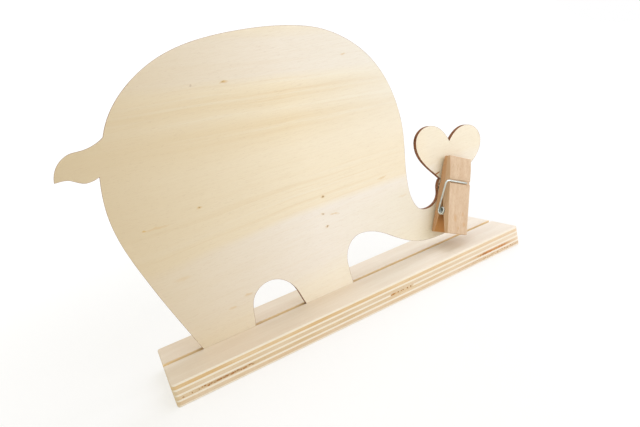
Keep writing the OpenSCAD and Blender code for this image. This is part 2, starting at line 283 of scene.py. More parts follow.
# %% [markdown]
# ## The base's long-grain veneers
# The base's top, its underside and three thin veneers between are pale wood whose fibres
# run along the bar. Stretched noise gives the fibres: few cells along X and many across.
# Where such a veneer is cut across, at the bar's two ends, the same solid pattern shows as
# pores, and the end drinks more light, so a share of the surface's own X direction darkens
# it a little. The surface's Y direction finds the sawn front edge, which is paler than the
# face, and the two walls of the slot, which the saw left tan; that tan is kept pale as
# painted light, because the slot lies in shade. Along the bar the wood runs from yellow on
# the left to blush on the right, partly its own tone and partly painted light falling from
# the right. The middle veneer gets a finish of its own, because it is worn to tan for a
# finger's width along the front edge.

# %% Which way a surface faces
def axes_of(tree, vector):
    """The X, Y and Z of a place or a direction."""
    return put(tree, "SeparateXYZ", {0: vector}).outputs


def apart(tree, a, b=0.0):
    """How far a lies from b, to either side."""
    return calc(tree, "ABSOLUTE", calc(tree, "SUBTRACT", a, b))


def surface_way(tree):
    """The way that the surface faces, as seen by the object itself."""
    return put(tree, "TexCoord").outputs["Normal"]


def relief(tree, shader, height, strength, distance):
    """A fine relief for the light to play on. distance is in millimetres."""
    inputs = {"Height": height, "Strength": strength, "Distance": distance * MM}
    tree.links.new(put(tree, "Bump", inputs).outputs[0], shader.inputs["Normal"])


print("surface helpers:", [helper.__name__ for helper in (axes_of, apart, surface_way, relief)])

# %% Long-grain veneer
SLOT_MIDDLE, SLOT_WALL = 0.6, 1.05  # the slot's Y, and how far each wall is from it


def slot_tan_and_painted_light(tree, place, facing, colour):
    """Lays tan on the slot's two walls: the saw's own tan, kept pale as painted light where the
    slot lies in shade. facing is the surface's own Y direction.
    """
    from_slot = apart(tree, axes_of(tree, place)[1], SLOT_MIDDLE)
    at_wall = grade(tree, from_slot, SLOT_WALL + 0.05, SLOT_WALL + 0.15, 1, 0)
    wall = times(tree, at_wall, grade(tree, apart(tree, facing), 0.3, 0.8))
    # the tan is the saw's; its paleness is painted light for the slot's shade
    return mix(tree, times(tree, wall, 0.95), colour, paint(252, 228, 184))


def long_veneer(name, yellow, blush, marks=()):
    """Pale wood along the bar. It runs from yellow on the left to blush on the right, partly as
    the wood's own tone and partly as painted light falling from the right.
    """
    material, tree, shader, place = new_finish(name)
    figure = pattern(tree, place, (0.012, 0.14, 0.14), detail=3)
    fibre = pattern(tree, place, (0.11, 3.2, 3.2), detail=4, rough=0.65)
    pores = pattern(tree, place, (0.35, 7, 7))
    # partly painted light: paler towards the right, where the light comes from, and partly the
    # wood's own tone
    rightward = grade(tree, axes_of(tree, place)[0], -60, 80)
    tone_and_painted_light = calc(tree, "ADD", rightward, grade(tree, figure, 0.3, 0.7, -0.35, 0.35))
    colour = mix(tree, grade(tree, tone_and_painted_light, 0, 1), paint(*yellow), paint(*blush))
    colour = mix(tree, grade(tree, fibre, 0.45, 0.75, 0, 0.16), colour, paint(196, 164, 128))
    colour = mix(tree, grade(tree, pores, 0.62, 0.72, 0, 0.10), colour, paint(150, 112, 76))
    faces = axes_of(tree, surface_way(tree))
    sawn_edge = grade(tree, apart(tree, faces[1]), 0.3, 0.8)
    colour = mix(tree, sawn_edge, colour, paint(247, 237, 219))
    cut_end = grade(tree, apart(tree, faces[0]), 0.5, 0.9, 0, 0.42)
    colour = mix(tree, cut_end, colour, paint(218, 188, 146))
    colour = slot_tan_and_painted_light(tree, place, faces[1], colour)
    for details in marks:
        colour = mark(tree, shaken(tree, place, (0.5, 0.5, 0.5), 1.2), colour, **details)
    tree.links.new(colour, shader.inputs["Base Color"])
    tree.links.new(grade(tree, fibre, 0.3, 0.7, 0.62, 0.74), shader.inputs["Roughness"])
    relief(tree, shader, fibre, 0.35, 0.06)
    shader.inputs["Specular IOR Level"].default_value = 0.35
    return material


inner_wood = (248, 238, 216), (248, 239, 220)
base_top_finish = long_veneer("base_top_veneer", (238, 223, 204), (254, 246, 234))
base_long_finish = long_veneer("base_long_veneer", *inner_wood)
print("long-grain finishes:", base_top_finish.name, base_long_finish.name)

# %% Worn middle veneer
FRONT = -17  # the Y of the bar's front side


def front_mark(x, z, wide, high, tint, strength, deep=6, core=0.35):
    """A mark on the bar's front side, which goes deep millimetres into the wood."""
    ellipse = dict(middle=(x, FRONT, z), radii=(wide, deep, high))
    return dict(ellipse, tint=tint, strength=strength, core=core)


base_middle_finish = long_veneer("base_middle_veneer", *inner_wood, [
    front_mark(14.9, 4.65, 6.4, 2.0, paint(228, 202, 160), 0.9, deep=3, core=0.85),
    front_mark(10.6, 4.65, 2.4, 2.0, paint(214, 170, 104), 0.6, deep=3, core=0.3)])
print("worn finish:", base_middle_finish.name)

# %% [markdown]
# ## The base's cross-grain veneers
# Between the long veneers lie four thicker ones whose fibres run from front to back, so the
# bar's long edge shows their cut ends: tan, with fine pores, and each a little different.
# One function makes all four, with the tan and the marks of each as its inputs. The third
# has a rust-gold streak near its right end, and the lowest is mottled there: both could be
# painted on a picture, but a soft spot and a denser share of the pores need none.

# %% Cross-grain veneer
def cross_veneer(name, tan, deep, marks=(), mottled=0.0):
    """Tan cut ends. deep is the darker of its two tans, and mottled adds pores at the right."""
    material, tree, shader, place = new_finish(name)
    along = axes_of(tree, place)[0]
    figure = pattern(tree, place, (0.06, 0.02, 0.5), detail=3)
    pores = pattern(tree, place, (3.4, 0.25, 4.2), detail=3, rough=0.7)
    rings = pattern(tree, place, (0.05, 0.05, 2.4), detail=2)
    colour = mix(tree, grade(tree, figure, 0.35, 0.65), paint(*tan), paint(*deep))
    colour = mix(tree, grade(tree, rings, 0.5, 0.7, 0, 0.35), colour, paint(*deep))
    colour = mix(tree, grade(tree, along, 20, 80, 0, 0.45), colour, paint(245, 230, 208))
    colour = mix(tree, grade(tree, pores, 0.55, 0.72, 0, 0.5), colour, paint(180, 138, 96))
    picked = times(tree, grade(tree, pores, 0.44, 0.6), grade(tree, along, 42, 62, 0, mottled))
    colour = mix(tree, picked, colour, paint(188, 142, 76))
    faces = axes_of(tree, surface_way(tree))
    side_grain = grade(tree, apart(tree, faces[0]), 0.5, 0.9, 0, 0.5)
    colour = mix(tree, side_grain, colour, paint(240, 220, 184))
    colour = slot_tan_and_painted_light(tree, place, faces[1], colour)
    for details in marks:
        colour = mark(tree, shaken(tree, place, (1.5, 0.5, 1.5), 1.0), colour, **details)
    tree.links.new(colour, shader.inputs["Base Color"])
    shader.inputs["Roughness"].default_value = 0.78
    shader.inputs["Specular IOR Level"].default_value = 0.25
    relief(tree, shader, pores, 0.6, 0.10)
    return material


rust, gold, bark = paint(198, 122, 66), paint(212, 162, 96), paint(150, 100, 56)
cross_finishes = {
    2: cross_veneer("base_cross_veneer_2", (236, 211, 170), (224, 190, 138)),
    4: cross_veneer("base_cross_veneer_4", (234, 215, 186), (226, 202, 166)),
    6: cross_veneer("base_cross_veneer_6", (233, 211, 177), (222, 194, 152), [
        front_mark(68, 3.55, 17, 0.9, gold, 0.75),
        front_mark(64, 3.4, 6.5, 0.7, rust, 0.72),
        front_mark(73, 3.45, 6, 0.65, rust, 0.65),
        front_mark(62.2, 3.45, 2.4, 0.6, bark, 0.5),
        front_mark(-65, 3.6, 13, 0.6, bark, 0.45, deep=4)]),
    8: cross_veneer("base_cross_veneer_8", (234, 213, 184), (228, 201, 164), mottled=0.8),
}
print("cross-grain finishes:", len(cross_finishes))

# %% [markdown]
# ## The elephant's face veneer
# The face is one sheet of pale wood, with its grain nearly along the base. Its bands fan
# out: level near the belly and falling to the right higher up. So the height that picks the
# colour is first tilted, more the higher the point lies. A Color Ramp then lays the broad
# zones, cream, straw and blush, thin golden pinstripes come from noise with many cells
# across the grain, and the knots are laid last. The sheet is also deeper towards the tail,
# partly the wood's own tone and partly painted shade, and paler on the heart, so a few soft
# shares of X and of the height lay that.

# %% Zones and pinstripes
LEVEL_HEIGHT, FAN = 56, 0.00207  # where the grain lies level, and how fast it fans out
SHEET_TOP = 125


def tilted_height(tree, place, x, z):
    """The height that picks the colour. It fans out from the grain's level line."""
    waver = grade(tree, pattern(tree, place, (0.012, 0.0, 0.03)), 0.2, 0.8, -2.3, 1.7)
    fan = times(tree, calc(tree, "SUBTRACT", z, LEVEL_HEIGHT), times(tree, x, FAN))
    return calc(tree, "ADD", calc(tree, "ADD", z, fan), waver)


def wide_zones(tree, level):
    """The broad zones of colour, one above the other."""
    cream, straw, honey = (252, 244, 226), (248, 235, 208), (242, 224, 189)
    blush, rose = (248, 240, 228), (245, 235, 219)
    stops = [
        (8, cream), (17, cream), (25, blush), (45, blush), (48, straw),
        (55, straw), (63, straw), (74, straw), (85, honey), (89, straw),
        (94, honey), (99, straw), (103, rose), (116, rose), (122, straw),
    ]
    zones = put(tree, "ValToRGB", {0: calc(tree, "DIVIDE", level, SHEET_TOP)})
    ramp = zones.color_ramp
    ramp.elements.remove(ramp.elements[1])
    for k, (at, shade) in enumerate(stops):
        stop = ramp.elements[0] if k == 0 else ramp.elements.new(at / SHEET_TOP)
        stop.position, stop.color = at / SHEET_TOP, paint(*shade)
    return zones.outputs[0]


def pinstriped(tree, colour, x, level):
    """Golden and milky lines in two bands. They fade towards the head."""
    lined = put(tree, "CombineXYZ", {0: x, 2: level}).outputs[0]
    stripes = pattern(tree, lined, (0.008, 1, 0.62), detail=3, rough=0.6)
    high_band = grade(tree, apart(tree, level, 91), 5, 13, 0.85, 0.15)
    low_band = grade(tree, apart(tree, level, 54), 3, 9, 0.7, 0.15)
    bands = calc(tree, "MAXIMUM", high_band, low_band)
    in_bands = times(tree, grade(tree, x, 12, 48, 1, 0.3), bands)
    golden = times(tree, grade(tree, stripes, 0.52, 0.62, 0, 0.42), in_bands)
    colour = mix(tree, golden, colour, paint(232, 206, 160))
    milky = times(tree, grade(tree, stripes, 0.44, 0.36, 0, 0.5), in_bands)
    return mix(tree, milky, colour, paint(251, 243, 226))


print("zones over", SHEET_TOP, "mm of height")

# %% Face veneer
def face_veneer(name, marks):
    """The sheet's bare wood. scorched() below finishes what this one starts."""
    material, tree, shader, place = new_finish(name)
    x, _, z = axes_of(tree, place)
    level = tilted_height(tree, place, x, z)
    colour = wide_zones(tree, level)
    colour = pinstriped(tree, colour, x, level)
    # partly painted shade: darker towards the tail; the rest is the wood's own tone
    tail_tone_and_shade = times(tree, grade(tree, x, -96, -6, 1.0, 0), grade(tree, level, 20, 60, 0.85, 1))
    colour = mix(tree, tail_tone_and_shade, colour, paint(219, 201, 168))
    rightward = grade(tree, x, -10, 40, 0, 0.55)
    upper, lower = grade(tree, level, 62, 88), grade(tree, level, 48, 38)
    colour = mix(tree, times(tree, rightward, upper), colour, paint(243, 240, 228))
    colour = mix(tree, times(tree, rightward, lower), colour, paint(240, 232, 206))
    on_heart = times(tree, grade(tree, x, 48, 56), grade(tree, z, 38, 42, 0, 0.7))
    colour = mix(tree, on_heart, colour, paint(246, 237, 215))
    fibre = pattern(tree, place, (0.16, 1, 4.0), detail=4, rough=0.7)
    colour = mix(tree, grade(tree, fibre, 0.46, 0.78, 0, 0.20), colour, paint(214, 188, 150))
    pores = pattern(tree, place, (0.55, 1, 8.0), detail=1)
    colour = mix(tree, grade(tree, pores, 0.64, 0.76, 0, 0.20), colour, paint(170, 134, 96))
    soft_place = shaken(tree, place, (0.45, 0.45, 0.9), 1.4)
    for details in marks:
        colour = mark(tree, soft_place, colour, **details)
    return material, tree, shader, place, colour, fibre


print("the face is begun by", face_veneer.__name__)

# %% Knots and streaks
def spot(x, z, wide, high, tint, strength, lean=0.0, core=0.3):
    """A knot or streak right through the face veneer."""
    ellipse = dict(middle=(x, 0, z), radii=(wide, 50, high), lean=lean)
    return dict(ellipse, tint=tint, strength=strength, core=core)


knot, ochre = paint(140, 98, 44), paint(216, 176, 96)
face_marks = [
    spot(-3.35, 51.1, 1.3, 0.8, ochre, 0.55), spot(-3.35, 51.1, 0.6, 0.45, knot, 0.85),
    spot(-5.35, 44.1, 1.1, 0.7, ochre, 0.45), spot(-5.35, 44.1, 0.5, 0.4, knot, 0.65),
    spot(-4.65, 38.2, 1.2, 0.7, ochre, 0.5), spot(-4.65, 38.2, 0.5, 0.4, knot, 0.7),
    spot(0.05, 42.4, 2.6, 0.55, ochre, 0.45, lean=-8),
    spot(26.95, 50.3, 3.4, 0.6, ochre, 0.35, lean=6),
    spot(-53.65, 63.2, 1.4, 0.7, ochre, 0.55), spot(-53.65, 63.2, 0.5, 0.4, knot, 0.5),
    spot(-31.15, 105.3, 2.0, 0.7, ochre, 0.7), spot(-31.55, 105.3, 0.7, 0.45, knot, 0.3),
    spot(20.65, 105.3, 1.4, 0.5, ochre, 0.5), spot(-43.45, 106.5, 0.6, 0.5, knot, 0.3),
    spot(-70.85, 60.9, 6.5, 0.6, ochre, 0.3, lean=-3), spot(-74.95, 61.2, 0.8, 0.55, ochre, 0.6),
    spot(-45.55, 23.4, 2.4, 0.6, ochre, 0.4), spot(-53.05, 20.5, 2.2, 0.6, ochre, 0.35),
    spot(35.65, 39, 3.0, 0.8, ochre, 0.18), spot(-67.55, 39.3, 4.0, 1.0, ochre, 0.2),
    spot(56.6, 43.2, 2.0, 0.5, paint(176, 110, 36), 1.0, lean=8, core=0.7),
    spot(58.6, 39.6, 1.0, 0.9, paint(120, 88, 50), 0.7),
    spot(56.7, 37.8, 0.8, 0.9, paint(116, 78, 48), 0.8),
    spot(55.9, 36.4, 0.9, 0.7, paint(86, 48, 30), 0.9),
]
print("marks on the elephant's face:", len(face_marks))

# %% [markdown]
# ## The browned edges
# The outline is burned through the sheet by a beam, so the edge of the wood is dark brown
# all round and the face keeps a hair-thin brown line along it. The line isn't a drawn
# stroke: the mesh carries a number named scorch, 1 on the cut wall and falling to 0 within
# about a quarter of a millimetre of it, and the finish turns that number into brown. The
# beam leaves fine lines straight through the thickness, so the wall's noise has few cells
# along Y.

# %% Scorched finish
def scorched(material, tree, shader, place, colour, fibre):
    """Adds the burned wall and its hair line to a wood finish."""
    burn = put(tree, "Attribute", attribute_name="scorch").outputs["Fac"]
    beam = pattern(tree, place, (2.6, 0.12, 2.6), detail=3, rough=0.6)
    patchy = pattern(tree, place, (0.35, 0.9, 0.35), detail=2)
    wall = mix(tree, grade(tree, beam, 0.35, 0.7), paint(112, 68, 42), paint(170, 116, 78))
    wall = mix(tree, grade(tree, patchy, 0.55, 0.75, 0, 0.5), wall, paint(84, 50, 34))
    uneven = calc(tree, "ADD", burn, grade(tree, patchy, 0.3, 0.7, -0.12, 0.12))
    share = grade(tree, uneven, 0.25, 0.95)
    tree.links.new(mix(tree, share, colour, wall), shader.inputs["Base Color"])
    height = calc(tree, "ADD", times(tree, beam, burn), fibre)
    relief(tree, shader, height, 0.35, 0.06)
    tree.links.new(grade(tree, burn, 0, 1, 0.66, 0.85), shader.inputs["Roughness"])
    shader.inputs["Specular IOR Level"].default_value = 0.3
    return material


face_finish = scorched(*face_veneer("elephant_face_veneer", face_marks))
back_marks = face_marks[9:16]
back_finish = scorched(*face_veneer("elephant_back_veneer", back_marks))
core_finish = scorched(*face_veneer("elephant_core_veneer", []))
print("panel finishes:", face_finish.name, back_finish.name, core_finish.name)

# %% [markdown]
# ## The peg's beech
# Beech is pink and tan, with fibres along the peg and short darker flecks. The peg leans,
# so the pattern's place is first turned into the peg's own frame with the same Mapping
# trick as the marks: its Z then runs up the peg, X across it and Y into it. The sawn inner
# sides are deeper and more golden than the outside, partly the sawn wood's colour and
# partly painted shade between the jaws, and a painted shade darkens them most around the
# coil. The flanks are darker too, partly the side grain and partly painted shade.

# %% Beech finish
PEG_LEAN = math.radians(24.7)
# painted shade: the height up the peg where the painted shade on the inner sides is darkest
SHADE_UP = 12  # how far up the peg its inside is darkest
peg_foot = Vector((52.308, -0.400, 15.063))


def beech(name, inner_side, flank_share, marks=()):
    """A jaw's wood. inner_side is 1 or -1, the way along Y that its inside faces."""
    material, tree, shader, place = new_finish(name)
    own = own_frame(tree, place, peg_foot, PEG_LEAN)
    figure = pattern(tree, own, (0.5, 0.5, 0.03), detail=3)
    fibre = pattern(tree, own, (3.4, 3.4, 0.14), detail=4, rough=0.65)
    flecks = pattern(tree, own, (2.4, 2.4, 0.55), detail=1)
    colour = mix(tree, grade(tree, figure, 0.35, 0.65), paint(225, 200, 169), paint(216, 187, 154))
    colour = mix(tree, grade(tree, fibre, 0.42, 0.70, 0, 0.40), colour, paint(190, 146, 106))
    colour = mix(tree, grade(tree, flecks, 0.66, 0.74, 0, 0.25), colour, paint(176, 128, 86))
    facing = axes_of(tree, own_frame(tree, surface_way(tree), (0, 0, 0), PEG_LEAN))
    # the flanks are darker: partly side grain, partly painted shade
    flank = grade(tree, apart(tree, facing[0]), 0.4, 0.9, 0, flank_share)
    colour = mix(tree, flank, colour, paint(196, 142, 92))
    # the inner sides are golden brown: partly sawn wood, partly painted shade between the jaws
    inner = grade(tree, times(tree, facing[1], inner_side), 0.4, 0.9, 0, 0.85)
    colour = mix(tree, inner, colour, paint(204, 144, 72))
    # painted shade on the inner sides, darkest around the coil
    coil_shade = grade(tree, apart(tree, axes_of(tree, own)[2], SHADE_UP), 2, 8, 0.6, 0)
    colour = mix(tree, times(tree, inner, coil_shade), colour, paint(104, 60, 32))
    cut_end = grade(tree, apart(tree, facing[2]), 0.5, 0.9, 0, 0.45)
    colour = mix(tree, cut_end, colour, paint(190, 136, 88))
    for details in marks:
        colour = mark(tree, own, colour, **details)
    tree.links.new(colour, shader.inputs["Base Color"])
    tree.links.new(grade(tree, fibre, 0.3, 0.7, 0.55, 0.72), shader.inputs["Roughness"])
    relief(tree, shader, fibre, 0.45, 0.08)
    shader.inputs["Specular IOR Level"].default_value = 0.35
    return material


def amber_stain(x, z, wide, high, strength):
    """A faint stain on the front of the handle, in the peg's own frame."""
    ellipse = dict(middle=(x, -10, z), radii=(wide, 4, high))
    return dict(ellipse, tint=paint(206, 148, 78), strength=strength)


front_jaw_finish = beech("front_jaw_beech", 1, 0.3, [
    amber_stain(-2, 8, 1.2, 2.2, 0.35), amber_stain(2.4, 10, 1.0, 1.4, 0.30),
    amber_stain(3.4, 5.5, 1.3, 1.6, 0.35), amber_stain(0, 3.5, 0.9, 1.2, 0.30)])
rear_jaw_finish = beech("rear_jaw_beech", -1, 0.7)
print("beech finishes:", front_jaw_finish.name, rear_jaw_finish.name)

# %% [markdown]
# ## Wire and glue
# The spring is bright galvanised wire, which is metal with a soft sheen and a faint cloud
# of zinc. The glue is a small amber bed behind the peg that hardly shows. Both still have
# some variation, because nothing real is one even colour.

# %% Wire and glue finishes
wire_finish, tree, shader, place = new_finish("galvanised_wire")
cloud = pattern(tree, place, (0.9, 0.9, 0.9), detail=3)
zinc = mix(tree, grade(tree, cloud, 0.35, 0.65), paint(222, 227, 220), paint(196, 203, 196))
tree.links.new(zinc, shader.inputs["Base Color"])
tree.links.new(grade(tree, cloud, 0.3, 0.7, 0.32, 0.46), shader.inputs["Roughness"])
shader.inputs["Metallic"].default_value = 1.0

glue_finish, tree, shader, place = new_finish("dried_glue")
cloud = pattern(tree, place, (0.6, 0.6, 0.6), detail=2)
bed = mix(tree, cloud, paint(226, 196, 140), paint(206, 168, 104))
tree.links.new(bed, shader.inputs["Base Color"])
tree.links.new(grade(tree, cloud, 0.3, 0.7, 0.25, 0.45), shader.inputs["Roughness"])
print("metal and glue finishes made")

# %% [markdown]
# ## Starting a piece from its frame part
# The frame's own meshes come as loose triangles, which a bevel can't work on. So a detailed
# piece starts as a copy of one: its doubled corners are merged and the triangles on one
# flat side are dissolved into a single face. The copy then takes the frame part's place.

# %% Clean copies
SAME_PLACE = 0.002 * MM  # corners as near as this are one
FLAT = math.radians(0.4)  # sides that meet within this are one flat side


def clean_copy(node):
    """The frame part's shape as a bmesh of whole flat sides."""
    shape = bmesh.new()
    shape.from_mesh(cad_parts[node].data)
    bmesh.ops.remove_doubles(shape, verts=shape.verts, dist=SAME_PLACE)
    bmesh.ops.dissolve_limit(shape, angle_limit=FLAT, verts=shape.verts, edges=shape.edges)
    return shape


def as_piece(name, shape, node, body, finish, smooth=35):
    """Turns the bmesh into the piece that is shown for the frame part."""
    mesh = bpy.data.meshes.new(name)
    shape.to_mesh(mesh)
    shape.free()
    mesh.shade_smooth()
    mesh.set_sharp_from_angle(angle=math.radians(smooth))
    piece = bpy.data.objects.new(name, mesh)
    bpy.context.scene.collection.objects.link(piece)
    mesh.materials.append(finish)
    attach(piece, body)
    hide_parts(node)
    return piece


print("base_ply_1_front comes to", len(clean_copy("base_ply_1_front").faces), "sides")

# %% [markdown]
# ## Dressing the base
# The veneers' shapes are right as they are, so most of them only take their finish, and two
# modifiers that leave the mesh itself alone: Weld joins the loose corners, and Bevel eases
# every edge by a few hundredths of a millimetre. That puts a faint groove at each glue
# line, where real veneers never meet quite level.

# %% Base veneers
def eased(part, width, segments=1):
    """Joins the loose corners and takes width millimetres off every sharp edge."""
    weld = part.modifiers.new("weld", "WELD")
    weld.merge_threshold = SAME_PLACE
    bevel = part.modifiers.new("eased_edges", "BEVEL")
    bevel.width = width * MM
    bevel.segments = segments
    bevel.limit_method = "ANGLE"
    bevel.angle_limit = math.radians(40)


def base_finish(ply):
    """The finish of one veneer, counted from the top."""
    if ply == 1:
        return base_top_finish
    return base_long_finish if ply % 2 else cross_finishes[ply]


GLUE_LINE, TOP_EDGE = 0.03, 0.06
base_parts = [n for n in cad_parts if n.startswith("base_ply_")]
for name in base_parts:
    ply = int(name.split("_")[2])
    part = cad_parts[name]
    part.data.materials.clear()
    part.data.materials.append(base_finish(ply))
    eased(part, TOP_EDGE if ply == 1 else GLUE_LINE)
print("base veneers dressed:", len(base_parts))

# %% [markdown]
# ## Gaps in the core
# On the bar's front edge a few fibres are torn out: a row of dashes in the middle veneer
# and pecked spots in two of the cross veneers. A bump map could only hint at them. These
# are real hollows, so they are cut: each is a small lump of random shape, and one Boolean
# takes all the lumps out of the veneer and leaves their brown inside behind. Easing such
# small rims can lay two corners on one spot, so a last Weld joins those. The random numbers
# start from a fixed seed, so that the hollows are the same each time.

# %% Torn fibres
torn_finish, tree, shader, place = new_finish("torn_fibre")
fray = pattern(tree, place, (2, 0.6, 6), detail=3)
torn_wood = mix(tree, grade(tree, fray, 0.35, 0.65), paint(214, 156, 86), paint(160, 106, 54))
tree.links.new(torn_wood, shader.inputs["Base Color"])
shader.inputs["Roughness"].default_value = 0.9


def torn_out(name, node, finish, holes, seed):
    """The veneer with its torn spots cut out. A hole is x, z, half width, half height, depth."""
    chance = random.Random(seed)
    lumps = bmesh.new()
    for x, z, wide, high, deep in holes:
        made = bmesh.ops.create_icosphere(lumps, subdivisions=2, radius=1.0)["verts"]
        for v in made:
            v.co = v.co * chance.uniform(0.8, 1.15)
            v.co = Vector((x + v.co.x * wide, FRONT + v.co.y * deep, z + v.co.z * high)) * MM
    cutter_mesh = bpy.data.meshes.new(name + "_cutter")
    lumps.to_mesh(cutter_mesh)
    lumps.free()
    cutter_mesh.materials.append(torn_finish)
    cutter = bpy.data.objects.new(name + "_cutter", cutter_mesh)
    bpy.context.scene.collection.objects.link(cutter)
    piece = as_piece(name, clean_copy(node), node, "base", finish)
    cut = piece.modifiers.new("torn", "BOOLEAN")
    cut.object, cut.operation, cut.solver = cutter, "DIFFERENCE", "EXACT"
    cut.material_mode, cut.use_self = "TRANSFER", True
    bpy.context.view_layer.update()
    ready = piece.evaluated_get(bpy.context.evaluated_depsgraph_get())
    piece.data = bpy.data.meshes.new_from_object(ready)
    piece.modifiers.clear()
    bpy.data.objects.remove(cutter)
    eased(piece, GLUE_LINE)
    piece.modifiers.new("joined_corners", "WELD").merge_threshold = SAME_PLACE
    return piece


dash = [
    (10.0, 4.64, 1.3, 0.34, 0.14), (12.7, 4.64, 0.5, 0.24, 0.18), (14.3, 4.62, 0.4, 0.22, 0.16),
    (15.3, 4.68, 0.45, 0.22, 0.16), (17.6, 4.64, 0.42, 0.3, 0.3), (19.3, 4.64, 0.42, 0.3, 0.3),
]
print("dashes in the middle veneer:", len(dash))

# %% Pecked rows
chance = random.Random(7)


def pecks(places, z, shift, wide, high, deep):
    """A row of small hollows, each moved by up to shift along and up."""
    return [(x + chance.uniform(-shift[0], shift[0]), z + chance.uniform(-shift[1], shift[1]),
             chance.uniform(*wide), chance.uniform(*high), deep) for x in places]


left_places = [-81.8, -78.6] + [-75.6 + 0.9 * k for k in range(24)]
left_row = pecks(left_places, 3.6, (0.35, 0.3), (0.2, 0.5), (0.16, 0.36), 0.24)
right_places = [58 + 1.7 * k for k in range(11)]
right_row = pecks(right_places, 3.55, (0.2, 0.25), (0.2, 0.5), (0.1, 0.2), 0.15)
low_places = (62, 67.5, 70, 73, 75, 76.5, 78.3, 80.2, 81.8)
low_row = pecks(low_places, 1.5, (0.3, 0.3), (0.2, 0.45), (0.12, 0.24), 0.12)
end_rows = left_row + right_row
torn_out("base_middle_veneer_front", "base_ply_5_front",
         base_middle_finish, dash, seed=3)
torn_out("base_cross_veneer_6", "base_ply_6",
         cross_finishes[6], end_rows, seed=4)
torn_out("base_cross_veneer_8", "base_ply_8",
         cross_finishes[8], low_row, seed=5)
print("torn spots:", len(dash), "+", len(end_rows), "+", len(low_row))

# %% [markdown]
# ## The elephant
# The panel is three veneers thick. Each is a clean copy of its frame part. On a face veneer
# the big flat side is inset three times, so that the scorch number has rings of corners to
# fade over. Inset moves the side's own corners inwards and leaves new ones behind, so the
# rings are found from the inside out, each as the neighbours of the last. The outermost ring
# is the outline itself, and it is pushed back a little: burned wood shrinks, so the edge is
# never crisp. The walls stay straight, as the beam cuts them.

# %% Panel veneers
def scorch_numbers(piece, faded):
    """Writes 1 on every corner of the mesh, and less on those in faded."""
    numbers = piece.data.attributes.new("scorch", "FLOAT", "POINT")
    for k in range(len(piece.data.vertices)):
        numbers.data[k].value = faded.get(k, 1.0)


RING_WIDTHS = (0.06, 0.05, 0.17)  # from the outline inwards
RING_SCORCH = (0.0, 0.35, 0.9)  # from the inside outwards
SHRUNK = 0.015  # how far the burned rim is pushed back


def panel_veneer(name, node, finish, facing):
    """One of the three sheets. facing is -1 for the front, 1 for the back, 0 for the core."""
    shape = clean_copy(node)
    faded = {}
    if facing:
        sides = [f for f in shape.faces if f.normal.y * facing > 0.9]
        flat = max(sides, key=lambda f: f.calc_area())
        for inset in RING_WIDTHS:
            bmesh.ops.inset_region(shape, faces=[flat], thickness=inset * MM, use_even_offset=True)
        ring, seen = set(flat.verts), set()
        for value in RING_SCORCH:
            faded.update({v: value for v in ring})
            seen |= ring
            ring = {e.other_vert(v) for v in ring for e in v.link_edges} - seen
        for v in ring:
            v.co.y -= facing * SHRUNK * MM
    shape.verts.index_update()
    faded = {v.index: value for v, value in faded.items()}
    piece = as_piece(name, shape, node, "panel", finish, smooth=30)
    scorch_numbers(piece, faded)
    return piece


panel_veneer("elephant_front_veneer", "panel_front_ply", face_finish, -1)
panel_veneer("elephant_core_veneer", "panel_core_ply", core_finish, 0)
panel_veneer("elephant_back_veneer", "panel_back_ply", back_finish, 1)

# %% [markdown]
# ## The peg's jaws
# A jaw is sawn from one strip: a wedge with a groove for the wire on its outside and half a
# round seat for the coil on its inside. The frame has all of that, and what it lacks is the
# soft edge that tumbling gives every sharp corner, which a bevel of the clean copy adds. The
# strip wasn't quite straight either: the front jaw's right side comes in by a hair at the
# handle and goes out half as much at the tip, so the copy's corners on that side are moved
# across before the bevel.

# %% Jaws
peg_up = Vector((math.sin(PEG_LEAN), 0, math.cos(PEG_LEAN)))
peg_across = Vector((math.cos(PEG_LEAN), 0, -math.sin(PEG_LEAN)))
PEG_HALF_WIDTH = 6.2
STAYS_AT = 24  # how far up the peg its right side stays in place
JAW_EDGE = 0.14  # how wide its eased edges are


def sharp_edges(shape, least):
    """The edges where two sides meet at least so many degrees from flat."""
    joined = [e for e in shape.edges if len(e.link_faces) == 2]
    return [e for e in joined if e.calc_face_angle() > math.radians(least)]


def jaw(name, node, body, finish, narrowed):
    """The jaw with eased edges. Its right side comes in by narrowed at the handle's end."""
    shape = clean_copy(node)
    for v in shape.verts:
        own = v.co / MM - peg_foot
        rightward = own.dot(peg_across) / PEG_HALF_WIDTH
        if rightward > 0:
            down = 1 - own.dot(peg_up) / STAYS_AT
            v.co -= peg_across * narrowed * down * rightward * MM
    bmesh.ops.bevel(
        shape, geom=sharp_edges(shape, 25), offset=JAW_EDGE * MM, segments=2,
        profile=0.6, affect="EDGES", clamp_overlap=True)
    return as_piece(name, shape, node, body, finish, smooth=50)


for name, node, body, finish, narrowed in (
    ("peg_rear_jaw_beech", "peg_rear_jaw", "panel", rear_jaw_finish, 0.0),
    ("peg_front_jaw_beech", "peg_front_jaw", "peg_lever", front_jaw_finish, 0.7),
):
    print(name, len(jaw(name, node, body, finish, narrowed).data.polygons), "faces")

# %% [markdown]
# ## The spring
# One wire makes the spring: it crosses the front jaw's groove, turns down the peg's left
# side, winds through the seats and comes up the right side to cross the rear jaw. Each arm
# leans out a little on its way, as wire does at a sprung bend. The shape is worked out in a
# frame at the coil's middle, with s up the face where the jaws meet, n out from it and w
# across, and a round section is swept along it. When the peg is squeezed, the two arms
# stay with their jaws. So the wire is made in three stretches that meet end to end: each
# arm rides on its jaw, and the coil rides on neither and stays where it is.

